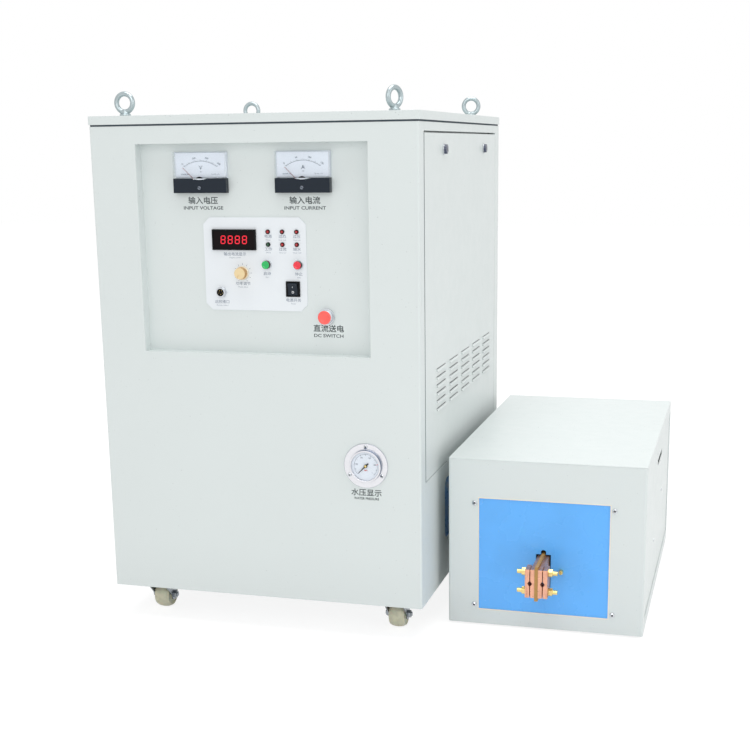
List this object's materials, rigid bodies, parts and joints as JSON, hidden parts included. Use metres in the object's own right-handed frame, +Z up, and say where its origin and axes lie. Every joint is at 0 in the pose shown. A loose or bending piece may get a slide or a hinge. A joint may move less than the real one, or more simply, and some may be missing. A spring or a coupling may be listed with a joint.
{
  "type": "induction heating machine",
  "caption": "Power cabinet on swivel casters with meters, controls and a pressure gauge, and a low box-shaped heating head with copper coil clamps beside it.",
  "frame": {"origin": "on the floor under the middle of the cabinet's footprint", "axes": "+Z up, the front faces -Y, the heating head stands at +X"},
  "size_m": [0.9835, 0.787, 0.973],
  "materials": {
    "alloy": "milled",
    "black_plastic": "satin",
    "board_blue": "glossy",
    "brass": "bright",
    "chrome": "bright plated",
    "clear": "clear",
    "copper": "bare copper",
    "dial_white": "printed card",
    "ferrite": "sintered",
    "green": "glossy",
    "lamp_red": "lens",
    "meter_black": "glossy",
    "nylon": "cast nylon",
    "ochre": "sheet laminate",
    "paint": "semi-gloss powder coat",
    "pcb_green": "solder mask",
    "plate_white": "satin",
    "red": "glossy",
    "rubber": "matt",
    "salmon": "glossy",
    "tan": "satin",
    "zinc": "zinc plated"
  },
  "bodies": {
    "cabinet": {"base_frame": "zinc", "body_frame": "paint", "front_panel": "paint", "rear_panel": "paint", "lid": "paint", "eye_bolts": "chrome", "instrument_panel": "paint", "left_side_panel": "paint", "cabinet_screws": "chrome", "caster_plates": "zinc", "meter_cases": "meter_black", "dial_plates": "dial_white", "instrument_glasses": "clear", "control_plate": "plate_white", "display_housing": "black_plastic", "indicator_lamps": "lamp_red", "switch_bodies": "chrome", "rocker_housing": "black_plastic", "remote_socket": "chrome", "control_board": "pcb_green", "gauge_case": "chrome", "cooling_plate": "alloy", "power_modules": "black_plastic", "capacitor_bank": "alloy", "water_manifold": "brass", "mains_gland": "black_plastic", "output_board": "board_blue", "output_terminals": "brass"},
    "right_panel": {"right_side_panel": "paint"},
    "front_lock": {"right_lock_front": "chrome"},
    "rear_lock": {"right_lock_rear": "chrome"},
    "fork_fl": {"caster_fork_fl": "chrome"},
    "fork_fr": {"caster_fork_fr": "chrome"},
    "fork_bl": {"caster_fork_bl": "chrome"},
    "fork_br": {"caster_fork_br": "chrome"},
    "wheel_fl": {"caster_wheel_fl": "nylon"},
    "wheel_fr": {"caster_wheel_fr": "nylon"},
    "wheel_bl": {"caster_wheel_bl": "nylon"},
    "wheel_br": {"caster_wheel_br": "nylon"},
    "volt_needle": {"voltmeter_needle": "black_plastic"},
    "amp_needle": {"ammeter_needle": "black_plastic"},
    "pressure_needle": {"gauge_needle": "black_plastic"},
    "knob": {"power_knob": "tan"},
    "start_cap": {"start_button": "green"},
    "stop_cap": {"stop_button": "red"},
    "dc_cap": {"dc_button": "salmon"},
    "rocker": {"main_rocker": "black_plastic"},
    "head": {"head_chassis": "paint", "head_cover": "paint", "head_side_covers": "paint", "terminal_board": "board_blue", "head_screws": "chrome", "output_bars": "copper", "clamp_jaws": "copper", "insulation_sheet": "ochre", "clamp_studs": "brass", "output_transformer": "ferrite", "tank_capacitors": "black_plastic", "head_feet": "rubber", "head_hose_tails": "brass"}
  },
  "joints": [
    {"name": "swivel_fl", "type": "hinge", "parent": "cabinet", "child": "fork_fl", "pos_m": [-0.236, -0.288, 0.06], "axis": [0, 0, 1], "continuous": true},
    {"name": "roll_fl", "type": "hinge", "parent": "fork_fl", "child": "wheel_fl", "pos_m": [-0.236, -0.27, 0.025], "axis": [1, 0, 0], "continuous": true},
    {"name": "swivel_fr", "type": "hinge", "parent": "cabinet", "child": "fork_fr", "pos_m": [0.236, -0.288, 0.06], "axis": [0, 0, 1], "continuous": true},
    {"name": "roll_fr", "type": "hinge", "parent": "fork_fr", "child": "wheel_fr", "pos_m": [0.236, -0.27, 0.025], "axis": [1, 0, 0], "continuous": true},
    {"name": "swivel_bl", "type": "hinge", "parent": "cabinet", "child": "fork_bl", "pos_m": [-0.236, 0.288, 0.06], "axis": [0, 0, 1], "continuous": true},
    {"name": "roll_bl", "type": "hinge", "parent": "fork_bl", "child": "wheel_bl", "pos_m": [-0.236, 0.306, 0.025], "axis": [1, 0, 0], "continuous": true},
    {"name": "swivel_br", "type": "hinge", "parent": "cabinet", "child": "fork_br", "pos_m": [0.236, 0.288, 0.06], "axis": [0, 0, 1], "continuous": true},
    {"name": "roll_br", "type": "hinge", "parent": "fork_br", "child": "wheel_br", "pos_m": [0.236, 0.306, 0.025], "axis": [1, 0, 0], "continuous": true},
    {"name": "right_panel_tilt", "type": "hinge", "parent": "cabinet", "child": "right_panel", "pos_m": [0.3, 0, 0.2915], "axis": [0, 1, 0], "range_deg": [0, 30]},
    {"name": "front_lock_turn", "type": "hinge", "parent": "right_panel", "child": "front_lock", "pos_m": [0.3, -0.171, 0.866], "axis": [1, 0, 0], "range_deg": [0, 90]},
    {"name": "rear_lock_turn", "type": "hinge", "parent": "right_panel", "child": "rear_lock", "pos_m": [0.3, 0.184, 0.866], "axis": [1, 0, 0], "range_deg": [0, 90]},
    {"name": "voltmeter_swing", "type": "hinge", "parent": "cabinet", "child": "volt_needle", "pos_m": [-0.098, -0.3361, 0.8075], "axis": [0, 1, 0], "range_deg": [0, 90]},
    {"name": "ammeter_swing", "type": "hinge", "parent": "cabinet", "child": "amp_needle", "pos_m": [0.091, -0.3361, 0.8075], "axis": [0, 1, 0], "range_deg": [0, 90]},
    {"name": "pressure_swing", "type": "hinge", "parent": "cabinet", "child": "pressure_needle", "pos_m": [0.2, -0.352, 0.324], "axis": [0, 1, 0], "range_deg": [0, 270]},
    {"name": "knob_turn", "type": "hinge", "parent": "cabinet", "child": "knob", "pos_m": [-0.0275, -0.3295, 0.6575], "axis": [0, 1, 0], "range_deg": [0, 300]},
    {"name": "start_press", "type": "slide", "parent": "cabinet", "child": "start_cap", "axis": [0, 1, 0], "range_m": [0, 0.003], "stiffness_N_per_m": 1000, "springref_m": -0.001},
    {"name": "stop_press", "type": "slide", "parent": "cabinet", "child": "stop_cap", "axis": [0, 1, 0], "range_m": [0, 0.003], "stiffness_N_per_m": 1000, "springref_m": -0.001},
    {"name": "dc_press", "type": "slide", "parent": "cabinet", "child": "dc_cap", "axis": [0, 1, 0], "range_m": [0, 0.004], "stiffness_N_per_m": 1200, "springref_m": -0.001},
    {"name": "main_rock", "type": "hinge", "parent": "cabinet", "child": "rocker", "pos_m": [0.066, -0.3295, 0.6305], "axis": [1, 0, 0], "range_deg": [-24, 0]},
    {"name": "head_shift", "type": "slide", "parent": "cabinet", "child": "head", "axis": [1, 0, 0], "range_m": [0, 0.4]}
  ]
}
